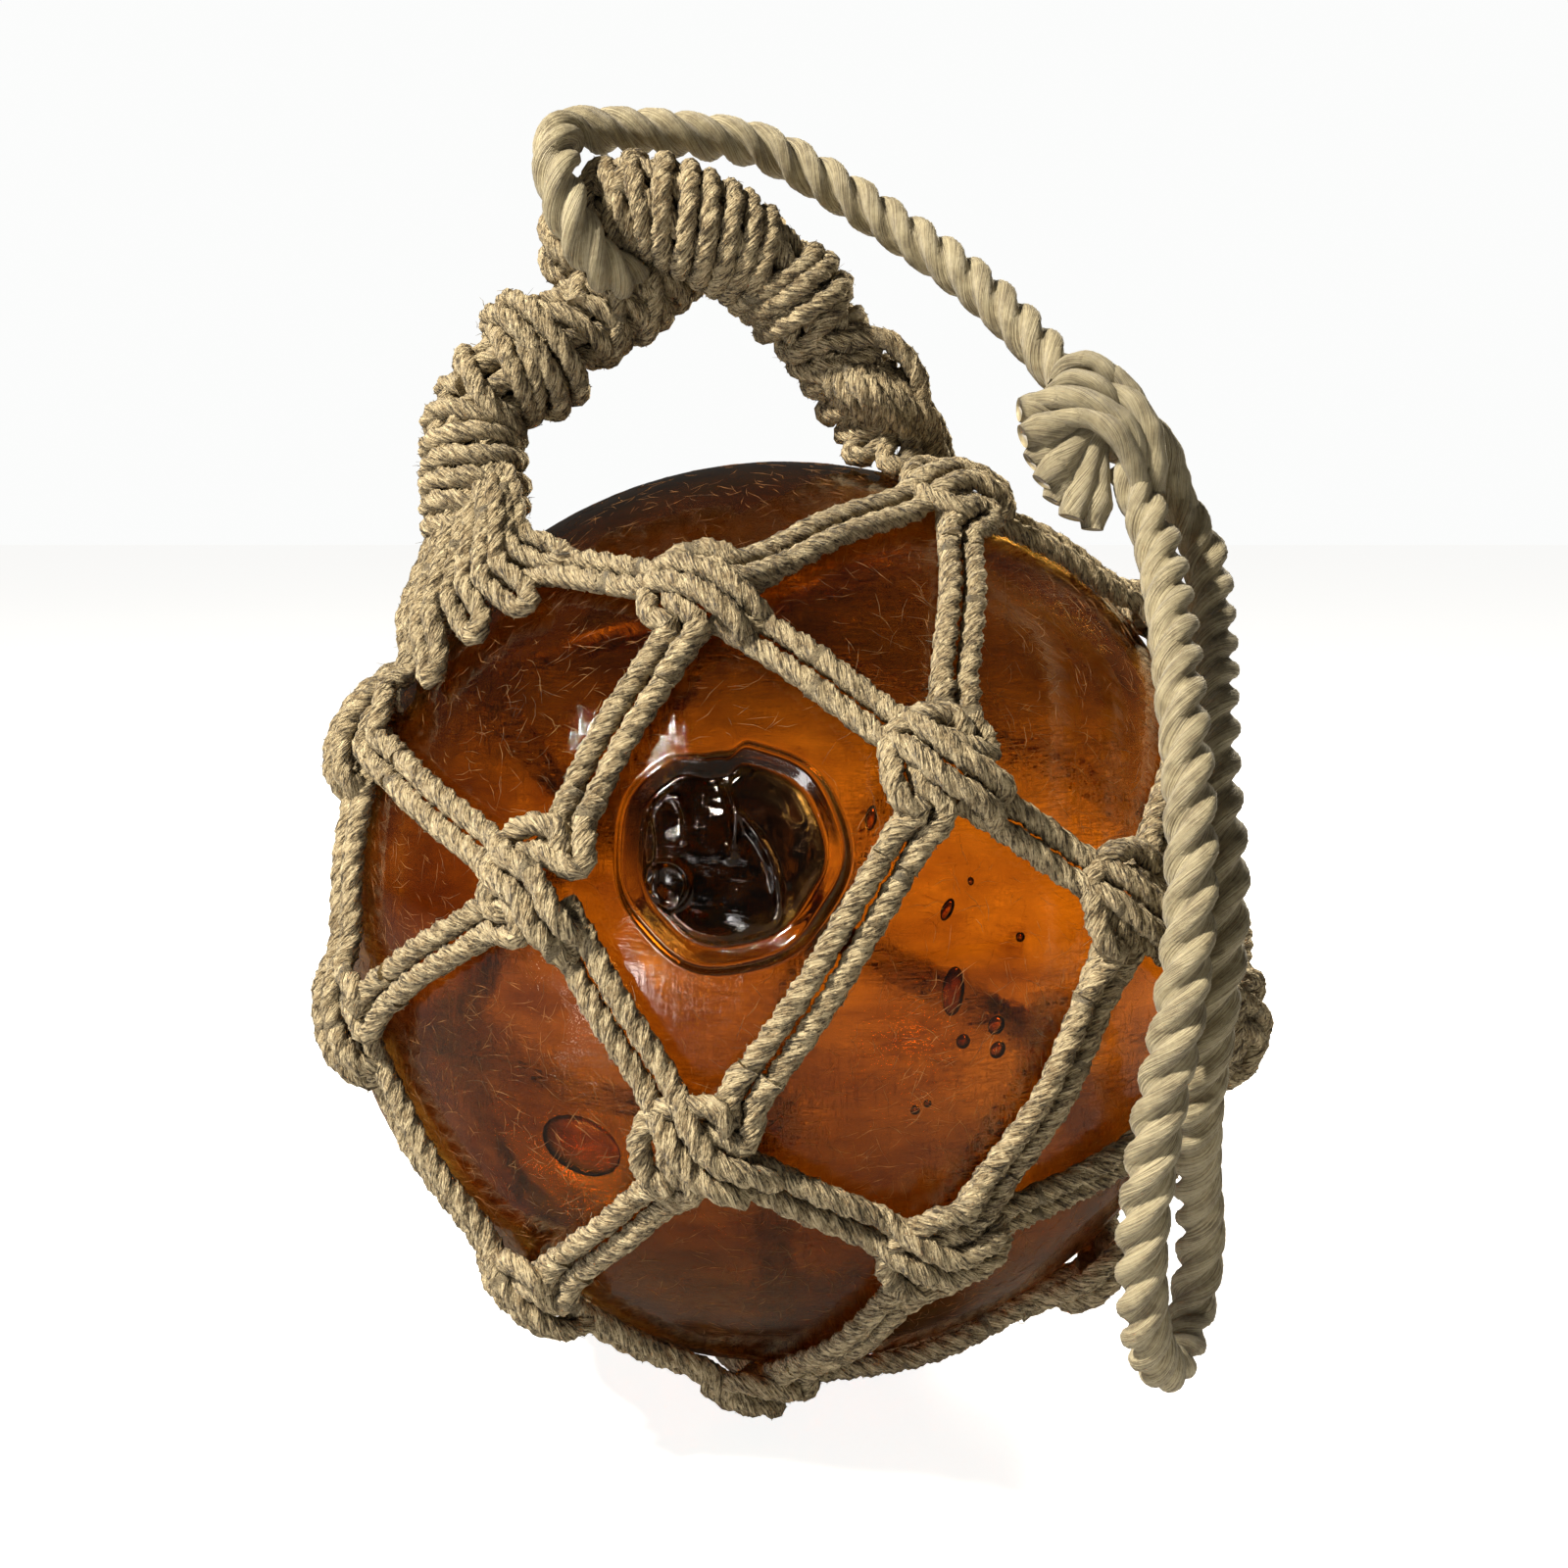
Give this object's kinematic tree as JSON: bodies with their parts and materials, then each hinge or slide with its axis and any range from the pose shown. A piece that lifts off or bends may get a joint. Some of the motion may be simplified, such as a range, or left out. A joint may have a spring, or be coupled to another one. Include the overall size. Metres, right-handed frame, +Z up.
{
  "type": "glass float ball",
  "caption": "Sealed amber glass fishing float in a hand-tied net of doubled cord, with a bound cord carrying handle and a laid rope lanyard tied to it.",
  "frame": {"origin": "middle of the small flat spot under the net's lowest knot, on which the float rests", "axes": "+Z up through the carrying handle, -Y towards the glass seal button, +X towards the lanyard"},
  "size_m": [0.1332, 0.136, 0.1786],
  "materials": {
    "amber_glass": "hand-blown amber glass, clear and glossy, with seed bubbles and fine scratches",
    "net_cord": "coarse twisted tan cord, matt and fuzzy, browned with age",
    "lanyard_rope": "cream three-strand laid rope, smooth with a slight sheen"
  },
  "bodies": {
    "root": {"glass_float": "amber_glass", "net": "net_cord", "carrying_handle": "net_cord", "lanyard_lead": "lanyard_rope", "lanyard_loop": "lanyard_rope", "lanyard_knot": "lanyard_rope"}
  },
  "joints": []
}
